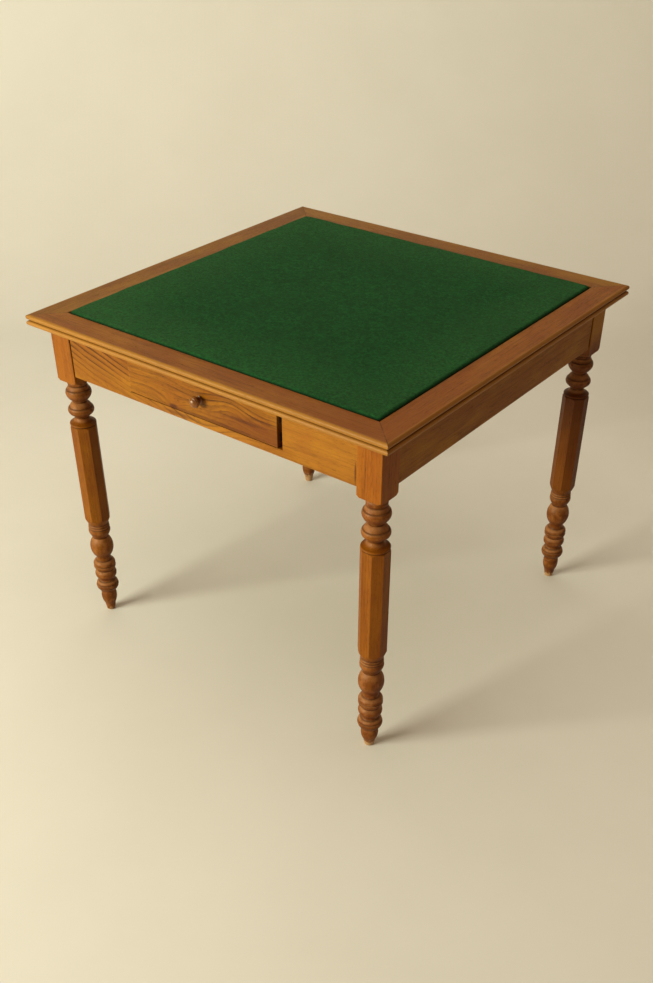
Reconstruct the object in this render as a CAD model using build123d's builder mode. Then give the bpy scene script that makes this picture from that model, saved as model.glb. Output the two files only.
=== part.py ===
from build123d import *
from math import asin, cos, sin
import os

# A square card table in oak: four turned and eight-sided legs, four aprons, a mitred and
# moulded border, a loose board covered in green cloth, and one drawer with a turned knob.
#
# Millimetres. The origin is on the floor under the middle of the table. The drawer is on
# the -Y side, which is the front. +X is to the right of someone facing the drawer, +Z is up.

# ------------------------------------------------------------------ driving dimensions

# Border of the top
TABLE_SIDE = 880.0              # over the mouldings
BORDER_TOP = 732.0              # floor to the oak border
BORDER_THICKNESS = 22.0
BORDER_WIDTH = 59.0             # oak that shows around the cloth
LIP_WIDTH = 14.0                # rebate that the board sits in
LIP_THICKNESS = 10.0
BEAD_DEPTH = 4.8                # how far each bead of the moulding swells out
BEAD_QUIRK = 1.6                # flat groove between the two beads

# Legs
LEG_BLOCK = 53.0                # square stock at the top of the leg
LEG_OVERHANG = 31.0             # from the block's outer face to the edge of the border
OCTAGON_FLATS = 53.5            # across the flats of the eight-sided length
OCTAGON_LOW = 240.0             # the eight sides are cut between these two heights
OCTAGON_HIGH = 489.0
BLOCK_LOW = 591.8               # underside of the square block
SHOULDER_RADIUS = 33.2          # its corners are turned off a little, from this radius out
SHOULDER_HEIGHT = 5.8
LATHE_RADIUS = 38.5             # round waste outside the square block
ARRIS = 1.2                     # worn rounding of long edges

# Aprons
APRON_HEIGHT = 99.0
APRON_THICKNESS = 20.0
APRON_SETBACK = 1.25            # from the block's outer face
TENON_THICKNESS = 8.0
TENON_LENGTH = 22.0
TENON_SHOULDER = 10.0           # apron height left above and below a tenon
MORTISE_SPARE = 1.0             # depth left beyond a tenon
OPEN_JOINT_FRONT = 2.5          # the old joints that have opened up a little
OPEN_JOINT_RIGHT = 4.5

# Drawer and its opening
OPENING_LEFT = -191.0
OPENING_RIGHT = 192.0
FRONT_STRIP = 15.5              # apron left under the drawer
DRAWER_LEFT = -190.5
DRAWER_RIGHT = 181.0
DRAWER_PROUD = 1.0              # from the apron's face to the drawer's face
DRAWER_FRONT_THICKNESS = 20.0
DRAWER_FRONT_LOW = 628.0
DRAWER_FRONT_HIGH = 708.5
DRAWER_SIDE_THICKNESS = 11.0
DRAWER_SIDE_HIGH = 703.0
DRAWER_BACK_THICKNESS = 10.0
DRAWER_BACK_HIGH = 698.0
DRAWER_REAR = -10.0             # y of the rear ends of the sides
DRAWER_BACK_INSET = 10.0        # the back is this far in from those ends
BOTTOM_THICKNESS = 5.0
BOTTOM_LOW = 634.0
GROOVE_DEPTH = 5.0
HOUSING_DEPTH = 4.0
TAIL_LENGTH = 14.0
TAIL_ROOT = 8.0                 # half width of a dovetail at its root and at its end
TAIL_END = 10.5
TAIL_HEIGHTS = (646.0, 684.0)

# Runners and guides
RUNNER_TOP = 627.0
RUNNER_WIDTH = 28.0
RUNNER_TENON = 6.0
RUNNER_TENON_THICKNESS = 8.0
GUIDE_WIDTH = 12.0
GUIDE_HEIGHT = 20.0
GUIDE_CLEARANCE = 1.5
STOP_LENGTH = 24.0
STOP_HEIGHT = 18.0
STOP_GAP = 0.3

# Knob
KNOB_HEIGHT = 667.0
SPIGOT_RADIUS = 4.5

# Board and cloth
CLOTH_TOP = 736.0
CLOTH_THICKNESS = 1.5
CLOTH_HALF = 379.5              # middle of the table to the outside of the cloth
CLOTH_LAP = 38.0                # turned under the board
CLOTH_CORNER = 8.0
CLOTH_EDGE = 6.0                # rounding of the top edge
TACK_INSET = 12.0               # from the cut edge of the cloth under the board

# Tongues in the mitres of the border
SPLINE_RADIUS = 572.0           # from the middle of the table to the middle of a tongue
SPLINE_LENGTH = 55.0
SPLINE_WIDTH = 26.0
SPLINE_THICKNESS = 4.0
SPLINE_RISE = 4.0               # above the underside of the border

# Glue blocks under the border
GLUE_BLOCK = 20.0
GLUE_BLOCK_LENGTH = 70.0
GLUE_BLOCK_ALONG = 275.0        # from the middle of a side

# Fastenings
SCREW_RADIUS = 1.75
SCREW_HEAD_RADIUS = 3.5
SCREW_HEAD = 2.2
SLOT_WIDTH = 0.9
SLOT_DEPTH = 1.0
BOARD_SCREW_LENGTH = 21.0
BOARD_SCREW_ALONG = 220.0
GUIDE_SCREW_LENGTH = 32.0
GUIDE_SCREW_PITCH = 300.0
TACK_RADIUS = 4.2
TACK_HEAD = 1.8
TACK_SHANK = 0.7
TACK_LENGTH = 10.0
TACK_POINT = 2.0
TACK_PITCH = 100.0
TACKS_PER_SIDE = 7
NAIL_RADIUS = 0.8
NAIL_LENGTH = 25.0
NAIL_HEAD_RADIUS = 2.0
NAIL_HEAD = 0.8
NAIL_PITCH = 50.0

# ------------------------------------------------------------------ worked-out places

HALF_SIDE = TABLE_SIDE / 2
BORDER_LOW = BORDER_TOP - BORDER_THICKNESS
REBATE = HALF_SIDE - BORDER_WIDTH
LIP_EDGE = REBATE - LIP_WIDTH
LIP_TOP = BORDER_LOW + LIP_THICKNESS

BLOCK_FACE = HALF_SIDE - LEG_OVERHANG
BLOCK_INNER = BLOCK_FACE - LEG_BLOCK
LEG_CENTRE = BLOCK_FACE - LEG_BLOCK / 2

APRON_FACE = BLOCK_FACE - APRON_SETBACK
APRON_INNER = APRON_FACE - APRON_THICKNESS
APRON_MIDDLE = APRON_FACE - APRON_THICKNESS / 2
APRON_LOW = BORDER_LOW - APRON_HEIGHT

OPENING_LOW = APRON_LOW + FRONT_STRIP
DRAWER_FACE = -APRON_FACE - DRAWER_PROUD
DRAWER_FRONT_INNER = DRAWER_FACE + DRAWER_FRONT_THICKNESS
DRAWER_MIDDLE = (DRAWER_LEFT + DRAWER_RIGHT) / 2
BACK_REAR = DRAWER_REAR - DRAWER_BACK_INSET
BACK_FRONT = BACK_REAR - DRAWER_BACK_THICKNESS

BOARD_HALF = CLOTH_HALF - CLOTH_THICKNESS
BOARD_LOW = LIP_TOP + CLOTH_THICKNESS
BOARD_TOP = CLOTH_TOP - CLOTH_THICKNESS
BOARD_CORNER = CLOTH_CORNER - CLOTH_THICKNESS
BOARD_EDGE = CLOTH_EDGE - CLOTH_THICKNESS
LAP_EDGE = CLOTH_HALF - CLOTH_LAP
TACK_LINE = LAP_EDGE + TACK_INSET

UPWARD = (Align.CENTER, Align.CENTER, Align.MIN)
SIDES = {"back": 0, "left": 90, "front": 180, "right": 270}
CORNERS = {
    "front_left": (-1, -1),
    "front_right": (1, -1),
    "back_right": (1, 1),
    "back_left": (-1, 1),
}


# ------------------------------------------------------------------ helpers


def side_frame(side):
    """Frame of one side of the table: X along the side, Y out of the table, Z up."""
    return Plane.XY.rotated((0, 0, SIDES[side]))


def cross_plane(side):
    """Plane that cuts across one side: its X points out of the table, its Y up."""
    frame = side_frame(side)
    return Plane(origin=(0, 0, 0), x_dir=frame.y_dir, z_dir=frame.x_dir)


def block(low, high, mode=Mode.ADD):
    """Rectangular block between two opposite corners, in the builder that is open."""
    size = [top - bottom for bottom, top in zip(low, high)]
    middle = tuple((top + bottom) / 2 for bottom, top in zip(low, high))
    with Locations(middle):
        Box(*size, mode=mode)


def chain(start, steps):
    """Lines and arcs joined end to end: a step is an end, or an arc's crown and its end."""
    here = start
    for step in steps:
        if isinstance(step[0], tuple):
            crown, end = step
            ThreePointArc(here, crown, end)
        else:
            end = step
            Line(here, end)
        here = end
    return here


def dome_crown(radius, height):
    """Middle of a dome's arc, from the middle of the dome's base: (radius, height)."""
    sphere = (radius**2 + height**2) / (2 * height)
    half_angle = asin(radius / sphere) / 2
    return sphere * sin(half_angle), height - sphere * (1 - cos(half_angle))


def four_ways(along, out, height):
    """The same place on each of the four sides: along the side, out from the middle."""
    return [(along, out, height), (along, -out, height), (out, along, height), (-out, along, height)]


def wood_screws(places, length):
    """Countersunk screws with their heads at the places, and the same screws without slots."""
    with BuildPart() as bores:
        with Locations(*places):
            Cylinder(SCREW_RADIUS, length, align=UPWARD)
            Cone(SCREW_HEAD_RADIUS, SCREW_RADIUS, SCREW_HEAD, align=UPWARD)
    with BuildPart() as screws:
        add(bores.part)
        with Locations(*places):
            Box(3 * SCREW_HEAD_RADIUS, SLOT_WIDTH, 2 * SLOT_DEPTH, mode=Mode.SUBTRACT)
    return screws.part, bores.part


def cut(part, *tools):
    """The part with the tools' shapes taken out of it."""
    with BuildPart() as result:
        add(part)
        for tool in tools:
            add(tool, mode=Mode.SUBTRACT)
    return result.part


def write(part, name):
    """Label a finished piece and write it as one STEP file."""
    part.label = name
    export_step(part, f"parts/{name}.step")


os.makedirs("parts", exist_ok=True)

# ------------------------------------------------------------------ fastenings of the top

# Slotted screws driven up through the rebate lip into the board
screw_line = (REBATE + LIP_EDGE) / 2
board_screw_places = four_ways(-BOARD_SCREW_ALONG, screw_line, BORDER_LOW)
board_screw_places += four_ways(BOARD_SCREW_ALONG, screw_line, BORDER_LOW)
board_screws, board_screw_bores = wood_screws(board_screw_places, BOARD_SCREW_LENGTH)
write(board_screws, "board_screws")

# One upholstery tack: a domed head under the cloth and a shank up into the board
tack_crown, tack_drop = dome_crown(TACK_RADIUS, TACK_HEAD)
with BuildPart() as tack:
    with BuildSketch(Plane.XZ):
        with BuildLine():
            chain(
                (0, -TACK_HEAD),
                [
                    ((tack_crown, -tack_drop), (TACK_RADIUS, 0)),
                    (TACK_SHANK, 0),
                    (TACK_SHANK, TACK_LENGTH - TACK_POINT),
                    (0, TACK_LENGTH),
                    (0, -TACK_HEAD),
                ],
            )
        make_face()
    revolve(axis=Axis.Z)

tack_places = []
for step in range(TACKS_PER_SIDE):
    tack_along = (step - (TACKS_PER_SIDE - 1) / 2) * TACK_PITCH
    tack_places += four_ways(tack_along, TACK_LINE, LIP_TOP)

with BuildPart() as cloth_tacks:
    with Locations(*tack_places):
        add(tack.part)
write(cloth_tacks.part, "cloth_tacks")

# Loose tongues across the four mitres
with BuildPart() as mitre_splines:
    with BuildSketch(Plane.XY.offset(BORDER_LOW + SPLINE_RISE)):
        with PolarLocations(SPLINE_RADIUS, 4, start_angle=45):
            Rectangle(SPLINE_LENGTH, SPLINE_WIDTH)
    extrude(amount=SPLINE_THICKNESS)
write(mitre_splines.part, "mitre_splines")

# ------------------------------------------------------------------ border of the top


def border_outline():
    """Section of a border rail: rebate inside, two beads outside."""
    bead_root = HALF_SIDE - BEAD_DEPTH
    bead_height = (BORDER_THICKNESS - BEAD_QUIRK) / 2
    lower_crown = BORDER_LOW + bead_height / 2
    upper_crown = BORDER_TOP - bead_height / 2
    chain(
        (LIP_EDGE, BORDER_LOW),
        [
            (bead_root, BORDER_LOW),
            ((HALF_SIDE, lower_crown), (bead_root, BORDER_LOW + bead_height)),
            (bead_root, BORDER_TOP - bead_height),
            ((HALF_SIDE, upper_crown), (bead_root, BORDER_TOP)),
            (REBATE + ARRIS, BORDER_TOP),
            ((REBATE + 0.3 * ARRIS, BORDER_TOP - 0.3 * ARRIS), (REBATE, BORDER_TOP - ARRIS)),
            (REBATE, LIP_TOP),
            (LIP_EDGE, LIP_TOP),
            (LIP_EDGE, BORDER_LOW),
        ],
    )


for side in SIDES:
    with BuildPart() as top_rail:
        with BuildSketch(cross_plane(side)):
            with BuildLine():
                border_outline()
            make_face()
        extrude(amount=HALF_SIDE, both=True)
        with BuildSketch(side_frame(side)):
            Polygon((0, 0), (TABLE_SIDE, TABLE_SIDE), (-TABLE_SIDE, TABLE_SIDE), align=None)
        extrude(amount=TABLE_SIDE, mode=Mode.INTERSECT)
    write(cut(top_rail.part, mitre_splines.part, board_screw_bores), f"top_rail_{side}")

# ------------------------------------------------------------------ board and cloth

with BuildPart() as playing_board:
    with BuildSketch(Plane.XY.offset(BOARD_LOW)):
        RectangleRounded(2 * BOARD_HALF, 2 * BOARD_HALF, BOARD_CORNER)
    extrude(amount=BOARD_TOP - BOARD_LOW)
    fillet(playing_board.faces().sort_by(Axis.Z)[-1].edges(), BOARD_EDGE)

# Cloth pulled over the board's edges and tacked under it
with BuildPart() as cloth:
    with BuildSketch(Plane.XY.offset(LIP_TOP)):
        RectangleRounded(2 * CLOTH_HALF, 2 * CLOTH_HALF, CLOTH_CORNER)
    extrude(amount=CLOTH_TOP - LIP_TOP)
    fillet(cloth.faces().sort_by(Axis.Z)[-1].edges(), CLOTH_EDGE)
    add(playing_board.part, mode=Mode.SUBTRACT)
    with BuildSketch(Plane.XY.offset(LIP_TOP)):
        Rectangle(2 * LAP_EDGE, 2 * LAP_EDGE)
    extrude(amount=CLOTH_THICKNESS, mode=Mode.SUBTRACT)
write(cut(cloth.part, cloth_tacks.part, board_screw_bores), "cloth")
write(cut(playing_board.part, cloth_tacks.part, board_screw_bores), "playing_board")

# ------------------------------------------------------------------ legs

# Half outline of a turned leg as (radius, height), from the floor up
FOOT = (8.3, 0.0)
LEG_STEPS = [
    (9.6, 1.4),
    (13.0, 20.0),
    ((17.8, 37.0), (17.0, 51.0)),           # swollen foot
    ((16.2, 55.5), (18.6, 60.0)),
    (22.0, 62.0),
    (24.6, 66.6),                           # lowest disc, with its two fine grooves
    (22.8, 67.8),
    (25.2, 69.2),
    ((25.9, 72.4), (25.2, 75.4)),
    (23.0, 76.6),
    (24.4, 78.2),
    ((22.2, 82.6), (18.4, 85.0)),
    ((16.6, 89.0), (18.6, 93.0)),
    ((24.6, 104.5), (19.4, 115.0)),         # lower round bead
    (19.4, 117.0),
    ((23.8, 121.0), (25.0, 127.6)),         # upper bead, grooved at its middle
    (23.2, 129.2),
    (24.8, 130.8),
    ((23.0, 138.4), (17.8, 142.0)),
    ((16.2, 149.0), (18.4, 156.0)),
    ((26.2, 181.0), (17.6, 204.5)),         # ball
    (17.0, 207.0),
    ((20.8, 212.5), (23.2, 218.0)),
    ((24.4, 223.0), (23.4, 228.5)),         # collar and its two rings
    (21.8, 229.8),
    ((23.8, 231.8), (22.6, 234.0)),
    (21.0, 235.4),
    ((23.2, 237.2), (22.6, 239.5)),
    (21.6, 241.0),
    (31.0, 264.0),                          # bevel that runs out into the eight sides
    (31.0, 483.6),
    (26.2, 488.6),
    (25.0, 489.8),
    ((27.9, 491.8), (26.2, 494.4)),         # rim of the saucer on top of them
    ((18.2, 499.0), (14.8, 505.4)),
    (14.8, 507.4),
    ((19.0, 511.0), (24.2, 515.6)),         # second bead, with a line above its crown
    ((27.4, 522.5), (25.2, 529.6)),
    (23.4, 530.3),
    ((20.2, 536.4), (14.8, 540.6)),
    (14.8, 543.8),
    ((20.4, 548.4), (25.2, 555.2)),         # first bead, likewise
    ((27.1, 562.5), (25.2, 569.4)),
    (23.4, 570.1),
    ((21.0, 576.0), (18.4, 579.0)),
    ((20.4, 583.4), (18.9, 588.0)),         # small ring under the block
    (18.9, BLOCK_LOW),
    (SHOULDER_RADIUS, BLOCK_LOW),
    (LATHE_RADIUS, BLOCK_LOW + SHOULDER_HEIGHT),
    (LATHE_RADIUS, BORDER_LOW),
    (0.0, BORDER_LOW),
    (0.0, 0.0),
    FOOT,
]

# The legs were turned by eye, and the beads of one sit lower: (height, how much lower there)
LEG_DROPS = {
    "front_right": ((0, 0), (56, 9), (250, 9), (480, 5), (585, 5), (BLOCK_LOW, 0)),
}


def lowered(height, drops):
    """The height, moved down by the drop read between the nearest two of drops."""
    for (low, low_drop), (high, high_drop) in zip(drops, drops[1:]):
        if low <= height < high:
            return height - low_drop - (high_drop - low_drop) * (height - low) / (high - low)
    return height


def leg_outline(drops):
    """LEG_STEPS with each height moved down by its drop."""
    outline = []
    for step in LEG_STEPS:
        if isinstance(step[0], tuple):
            outline.append(tuple((radius, lowered(height, drops)) for radius, height in step))
        else:
            radius, height = step
            outline.append((radius, lowered(height, drops)))
    return outline


for corner, (x_sign, y_sign) in CORNERS.items():
    leg_x = x_sign * LEG_CENTRE
    leg_y = y_sign * LEG_CENTRE
    tenon_low = APRON_LOW + TENON_SHOULDER
    tenon_high = BORDER_LOW - TENON_SHOULDER
    mortise_end = BLOCK_INNER + TENON_LENGTH + MORTISE_SPARE
    mortise_size = mortise_end - BLOCK_INNER
    mortise_centre = (mortise_end + BLOCK_INNER) / 2
    drops = LEG_DROPS.get(corner, ())
    octagon_low = lowered(OCTAGON_LOW, drops)
    octagon_high = lowered(OCTAGON_HIGH, drops)
    with BuildPart() as leg:
        with BuildSketch(Plane(origin=(leg_x, leg_y, 0), x_dir=(1, 0, 0), z_dir=(0, -1, 0))):
            with BuildLine():
                chain(FOOT, leg_outline(drops))
            make_face()
        revolve(axis=Axis((leg_x, leg_y, 0), (0, 0, 1)))
        # square block
        with BuildSketch(Plane.XY.offset(BLOCK_LOW)):
            with Locations((leg_x, leg_y)):
                Rectangle(2 * LEG_BLOCK, 2 * LEG_BLOCK)
                RectangleRounded(LEG_BLOCK, LEG_BLOCK, ARRIS, mode=Mode.SUBTRACT)
        extrude(amount=BORDER_LOW - BLOCK_LOW, mode=Mode.SUBTRACT)
        # eight flats
        with BuildSketch(Plane.XY.offset(octagon_low)):
            with Locations((leg_x, leg_y)):
                Circle(LEG_BLOCK)
                RegularPolygon(
                    OCTAGON_FLATS / 2, 8, major_radius=False, rotation=22.5, mode=Mode.SUBTRACT
                )
        extrude(amount=octagon_high - octagon_low, mode=Mode.SUBTRACT)
        # mortises for the two aprons that meet here
        with Locations((x_sign * mortise_centre, y_sign * APRON_MIDDLE, tenon_low)):
            Box(
                mortise_size, TENON_THICKNESS, tenon_high - tenon_low,
                align=UPWARD, mode=Mode.SUBTRACT,
            )
        with Locations((x_sign * APRON_MIDDLE, y_sign * mortise_centre, tenon_low)):
            Box(
                TENON_THICKNESS, mortise_size, tenon_high - tenon_low,
                align=UPWARD, mode=Mode.SUBTRACT,
            )
    write(leg.part, f"leg_{corner}")

# ------------------------------------------------------------------ runners and guides

# Each drawer side slides on a runner, against a guide: x of its outer face, and the way out
RUNNERS = {"left": (DRAWER_LEFT, -1), "right": (DRAWER_RIGHT, 1)}

runner_parts = []
for hand, (outer, out) in RUNNERS.items():
    guide_near = outer + out * GUIDE_CLEARANCE
    guide_far = guide_near + out * GUIDE_WIDTH
    runner_near = guide_far - out * RUNNER_WIDTH
    low_x, high_x = sorted((runner_near, guide_far))
    tenon_bottom = (APRON_LOW + RUNNER_TOP - RUNNER_TENON_THICKNESS) / 2
    with BuildPart() as runner:
        block((low_x, -APRON_INNER, APRON_LOW), (high_x, APRON_INNER, RUNNER_TOP))
        block(
            (low_x, -APRON_INNER - RUNNER_TENON, tenon_bottom),
            (high_x, APRON_INNER + RUNNER_TENON, tenon_bottom + RUNNER_TENON_THICKNESS),
        )
    runner_parts.append(runner.part)

    low_x, high_x = sorted((guide_near, guide_far))
    with BuildPart() as guide:
        block(
            (low_x, -APRON_INNER, RUNNER_TOP),
            (high_x, APRON_INNER, RUNNER_TOP + GUIDE_HEIGHT),
        )
        chamfer(guide.faces().sort_by(Axis.Z)[-1].edges().filter_by(Axis.Y), 2)

    # screws down through the guide into the runner, so they are turned over
    guide_middle = (guide_near + guide_far) / 2
    guide_screw_places = [
        Location((guide_middle, step * GUIDE_SCREW_PITCH, RUNNER_TOP + GUIDE_HEIGHT), (180, 0, 0))
        for step in (-1, 0, 1)
    ]
    guide_screws, guide_bores = wood_screws(guide_screw_places, GUIDE_SCREW_LENGTH)
    write(guide_screws, f"guide_screws_{hand}")
    write(cut(guide.part, guide_bores), f"drawer_guide_{hand}")
    write(cut(runner.part, guide_bores), f"drawer_runner_{hand}")

    # a stop on the runner, just behind the closed drawer's side
    low_x, high_x = sorted((outer, outer - out * DRAWER_SIDE_THICKNESS))
    stop_front = DRAWER_REAR + STOP_GAP
    with BuildPart() as stop:
        block(
            (low_x, stop_front, RUNNER_TOP),
            (high_x, stop_front + STOP_LENGTH, RUNNER_TOP + STOP_HEIGHT),
        )
        chamfer(stop.faces().sort_by(Axis.Z)[-1].edges(), 2)
    write(stop.part, f"drawer_stop_{hand}")

# ------------------------------------------------------------------ aprons

# How far each joint has opened, at the start and at the end of the side's own X
OPEN_JOINTS = {
    "back": (0.0, 0.0),
    "left": (0.0, 0.0),
    "front": (0.0, OPEN_JOINT_FRONT),
    "right": (OPEN_JOINT_RIGHT, 0.0),
}

for side in SIDES:
    start_gap, end_gap = OPEN_JOINTS[side]
    start = -BLOCK_INNER + start_gap
    end = BLOCK_INNER - end_gap
    with BuildPart(side_frame(side)) as apron:
        block((start, APRON_INNER, APRON_LOW), (end, APRON_FACE, BORDER_LOW))
        long_edges = apron.faces().sort_by(Axis.Z)[0].edges().sort_by(SortBy.LENGTH)[-2:]
        fillet(long_edges, ARRIS)
        block(
            (start - TENON_LENGTH, APRON_MIDDLE - TENON_THICKNESS / 2, APRON_LOW + TENON_SHOULDER),
            (end + TENON_LENGTH, APRON_MIDDLE + TENON_THICKNESS / 2, BORDER_LOW - TENON_SHOULDER),
        )
        if side == "front":
            # this side's own X runs from right to left
            block(
                (-OPENING_RIGHT, APRON_INNER - 1, OPENING_LOW),
                (-OPENING_LEFT, APRON_FACE + 1, BORDER_LOW + 1),
                mode=Mode.SUBTRACT,
            )
    write(cut(apron.part, *runner_parts), f"apron_{side}")

# Glue blocks in the angle between each apron and the border
for side in SIDES:
    for place, sign in (("a", -1), ("b", 1)):
        middle = sign * GLUE_BLOCK_ALONG
        with BuildPart(side_frame(side)) as glue_block:
            block(
                (middle - GLUE_BLOCK_LENGTH / 2, APRON_INNER - GLUE_BLOCK, BORDER_LOW - GLUE_BLOCK),
                (middle + GLUE_BLOCK_LENGTH / 2, APRON_INNER, BORDER_LOW),
            )
            chamfer(
                glue_block.edges().group_by(Axis.Z)[0].sort_by(SortBy.LENGTH)[-2:], 1.0
            )
        write(glue_block.part, f"glue_block_{side}_{place}")

# ------------------------------------------------------------------ drawer

with BuildPart() as drawer_bottom:
    block(
        (
            DRAWER_LEFT + DRAWER_SIDE_THICKNESS - GROOVE_DEPTH,
            DRAWER_FRONT_INNER - GROOVE_DEPTH,
            BOTTOM_LOW,
        ),
        (
            DRAWER_RIGHT - DRAWER_SIDE_THICKNESS + GROOVE_DEPTH,
            BACK_REAR,
            BOTTOM_LOW + BOTTOM_THICKNESS,
        ),
    )

with BuildPart() as drawer_back:
    block(
        (
            DRAWER_LEFT + DRAWER_SIDE_THICKNESS - HOUSING_DEPTH,
            BACK_FRONT,
            BOTTOM_LOW + BOTTOM_THICKNESS,
        ),
        (
            DRAWER_RIGHT - DRAWER_SIDE_THICKNESS + HOUSING_DEPTH,
            BACK_REAR,
            DRAWER_BACK_HIGH,
        ),
    )

# Nails up through the bottom into the back
nail_y = (BACK_FRONT + BACK_REAR) / 2
nail_places = [(DRAWER_MIDDLE + step * NAIL_PITCH, nail_y, BOTTOM_LOW) for step in range(-3, 4)]
with BuildPart() as bottom_nails:
    with Locations(*nail_places):
        Cylinder(NAIL_RADIUS, NAIL_LENGTH, align=UPWARD)
        Cylinder(NAIL_HEAD_RADIUS, NAIL_HEAD, align=UPWARD)
write(bottom_nails.part, "drawer_bottom_nails")
write(cut(drawer_bottom.part, bottom_nails.part), "drawer_bottom")
write(cut(drawer_back.part, bottom_nails.part), "drawer_back")

side_parts = []
for hand, (outer, out) in RUNNERS.items():
    low_x, high_x = sorted((outer, outer - out * DRAWER_SIDE_THICKNESS))
    with BuildPart() as drawer_side:
        block(
            (low_x, DRAWER_FRONT_INNER, RUNNER_TOP),
            (high_x, DRAWER_REAR, DRAWER_SIDE_HIGH),
        )
        fillet(drawer_side.faces().sort_by(Axis.Z)[-1].edges().filter_by(Axis.Y), 1.5)
        # dovetails that reach into the drawer's front
        with BuildSketch(Plane(origin=(low_x, 0, 0), x_dir=(0, 1, 0), z_dir=(1, 0, 0))):
            for height in TAIL_HEIGHTS:
                Polygon(
                    (DRAWER_FRONT_INNER, height - TAIL_ROOT),
                    (DRAWER_FRONT_INNER, height + TAIL_ROOT),
                    (DRAWER_FRONT_INNER - TAIL_LENGTH, height + TAIL_END),
                    (DRAWER_FRONT_INNER - TAIL_LENGTH, height - TAIL_END),
                    align=None,
                )
        extrude(amount=DRAWER_SIDE_THICKNESS)
    side_part = cut(drawer_side.part, drawer_bottom.part, drawer_back.part)
    side_parts.append(side_part)
    write(side_part, f"drawer_side_{hand}")

# Turned knob on a spigot through the drawer's front: (radius, distance out of the face)
KNOB_DOME = (8.4, 18.9)
KNOB_LENGTH = 23.2
crown_radius, crown_rise = dome_crown(KNOB_DOME[0], KNOB_LENGTH - KNOB_DOME[1])
KNOB_STEPS = [
    (SPIGOT_RADIUS, -DRAWER_FRONT_THICKNESS),
    (SPIGOT_RADIUS, 0.0),
    (7.6, 0.0),
    ((8.4, 0.9), (7.6, 1.9)),               # foot ring
    ((5.6, 4.2), (6.4, 7.4)),               # neck
    (8.2, 8.6),
    ((9.3, 9.8), (8.6, 11.0)),              # ring behind the head
    (8.2, 11.6),
    (9.8, 12.0),
    ((11.4, 14.0), (10.6, 15.8)),           # rim of the head
    (10.1, 16.2),
    ((9.9, 17.6), (8.9, 18.6)),             # step on the head
    KNOB_DOME,
    ((crown_radius, KNOB_DOME[1] + crown_rise), (0.0, KNOB_LENGTH)),
    (0.0, -DRAWER_FRONT_THICKNESS),
]
with BuildPart() as knob:
    knob_seat = Plane(
        origin=(DRAWER_MIDDLE, DRAWER_FACE, KNOB_HEIGHT), x_dir=(1, 0, 0), z_dir=(0, 0, -1)
    )
    with BuildSketch(knob_seat):
        with BuildLine():
            chain((0.0, -DRAWER_FRONT_THICKNESS), KNOB_STEPS)
        make_face()
    revolve(axis=Axis((DRAWER_MIDDLE, 0, KNOB_HEIGHT), (0, 1, 0)))
write(knob.part, "drawer_knob")

with BuildPart() as drawer_front:
    block(
        (DRAWER_LEFT, DRAWER_FACE, DRAWER_FRONT_LOW),
        (DRAWER_RIGHT, DRAWER_FRONT_INNER, DRAWER_FRONT_HIGH),
    )
    fillet(drawer_front.faces().sort_by(Axis.Y)[0].edges(), ARRIS)
write(cut(drawer_front.part, *side_parts, drawer_bottom.part, knob.part), "drawer_front")
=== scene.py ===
import math
from collections import namedtuple

import bpy
from mathutils import Euler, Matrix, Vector, noise


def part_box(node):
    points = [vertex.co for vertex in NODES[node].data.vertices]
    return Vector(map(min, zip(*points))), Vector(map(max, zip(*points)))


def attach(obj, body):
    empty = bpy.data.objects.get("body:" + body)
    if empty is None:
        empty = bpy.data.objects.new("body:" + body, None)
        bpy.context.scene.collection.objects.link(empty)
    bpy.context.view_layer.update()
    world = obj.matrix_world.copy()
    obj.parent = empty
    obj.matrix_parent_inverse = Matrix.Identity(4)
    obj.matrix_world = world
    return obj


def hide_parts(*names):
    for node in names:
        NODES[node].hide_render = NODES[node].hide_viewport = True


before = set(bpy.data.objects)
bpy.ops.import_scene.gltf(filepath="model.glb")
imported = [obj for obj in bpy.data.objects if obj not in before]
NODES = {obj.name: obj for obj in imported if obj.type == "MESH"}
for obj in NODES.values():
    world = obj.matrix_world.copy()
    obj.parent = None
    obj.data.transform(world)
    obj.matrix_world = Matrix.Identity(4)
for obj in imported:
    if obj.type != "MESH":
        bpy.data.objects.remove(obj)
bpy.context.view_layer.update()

MM = 0.001

# ---------------------------------------------------------------- places, read from the frame

BORDER_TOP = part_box("top_rail_front")[1][2]
APRON_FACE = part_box("apron_front")[0][1]
BORDER_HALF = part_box("top_rail_right")[1][0]
LEG_MIDDLE = sum(corner[0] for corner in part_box("leg_back_right")) / 2
QUIRK_HEIGHT = BORDER_TOP - 11 * MM  # the groove between the two beads of the border
DRAWER_LOW, DRAWER_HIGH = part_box("drawer_front")
CLOTH_LOW, CLOTH_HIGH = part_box("cloth")
CORNERS = ("front_left", "front_right", "back_right", "back_left")

# ---------------------------------------------------------------- building node trees


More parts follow.
